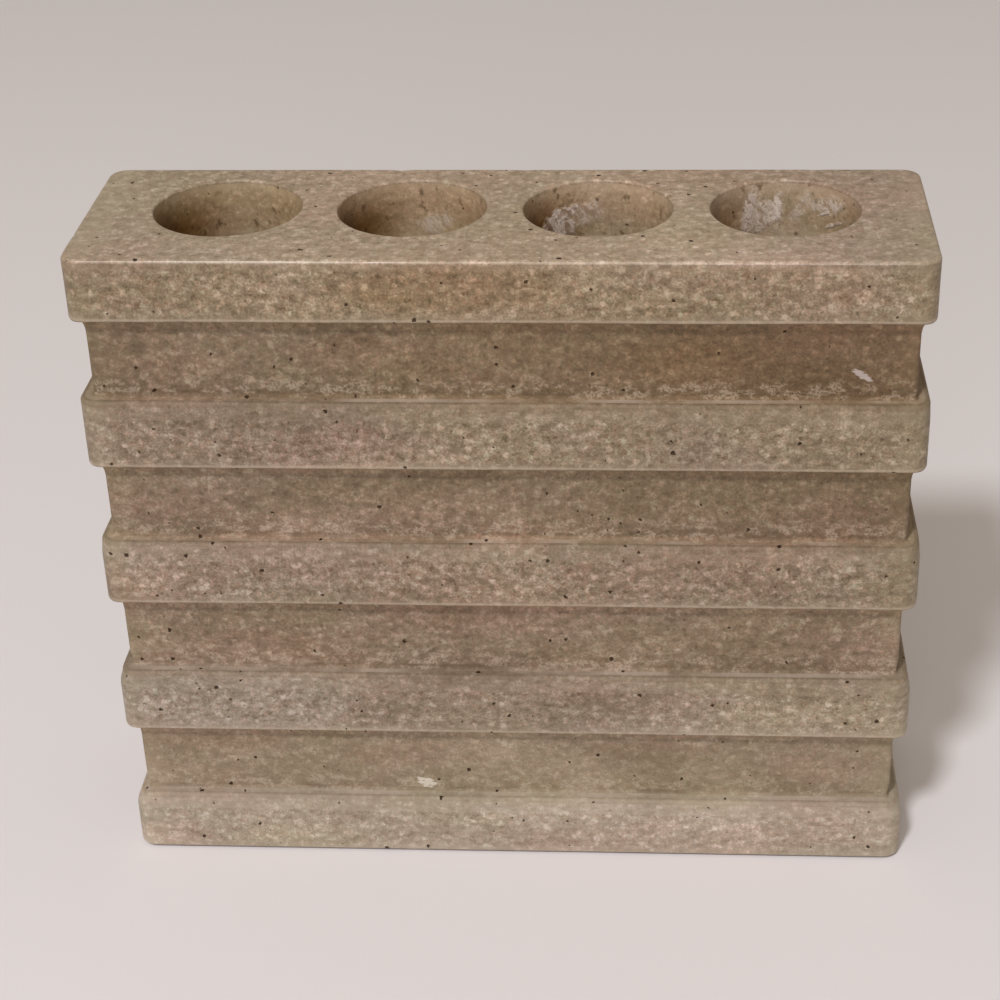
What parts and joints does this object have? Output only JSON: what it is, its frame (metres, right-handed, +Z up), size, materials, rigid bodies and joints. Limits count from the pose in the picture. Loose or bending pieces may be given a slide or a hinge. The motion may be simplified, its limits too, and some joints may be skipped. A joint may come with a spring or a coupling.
{
  "type": "toothbrush holder",
  "caption": "Free-standing toothbrush holder: a ribbed rectangular block of cast stone resin with a row of round wells in its top and rubber feet underneath.",
  "frame": {"origin": "on the table, under the middle of the block", "axes": "+X along the row of wells to the right, +Y from the front to the back, +Z up out of the wells"},
  "size_m": [0.13, 0.0376, 0.1093],
  "materials": {
    "stone_resin": "satin",
    "foot_rubber": "matte"
  },
  "bodies": {
    "root": {"cast_body": "stone_resin", "foot_front_left": "foot_rubber", "foot_front_right": "foot_rubber", "foot_rear_left": "foot_rubber", "foot_rear_right": "foot_rubber"}
  },
  "joints": []
}
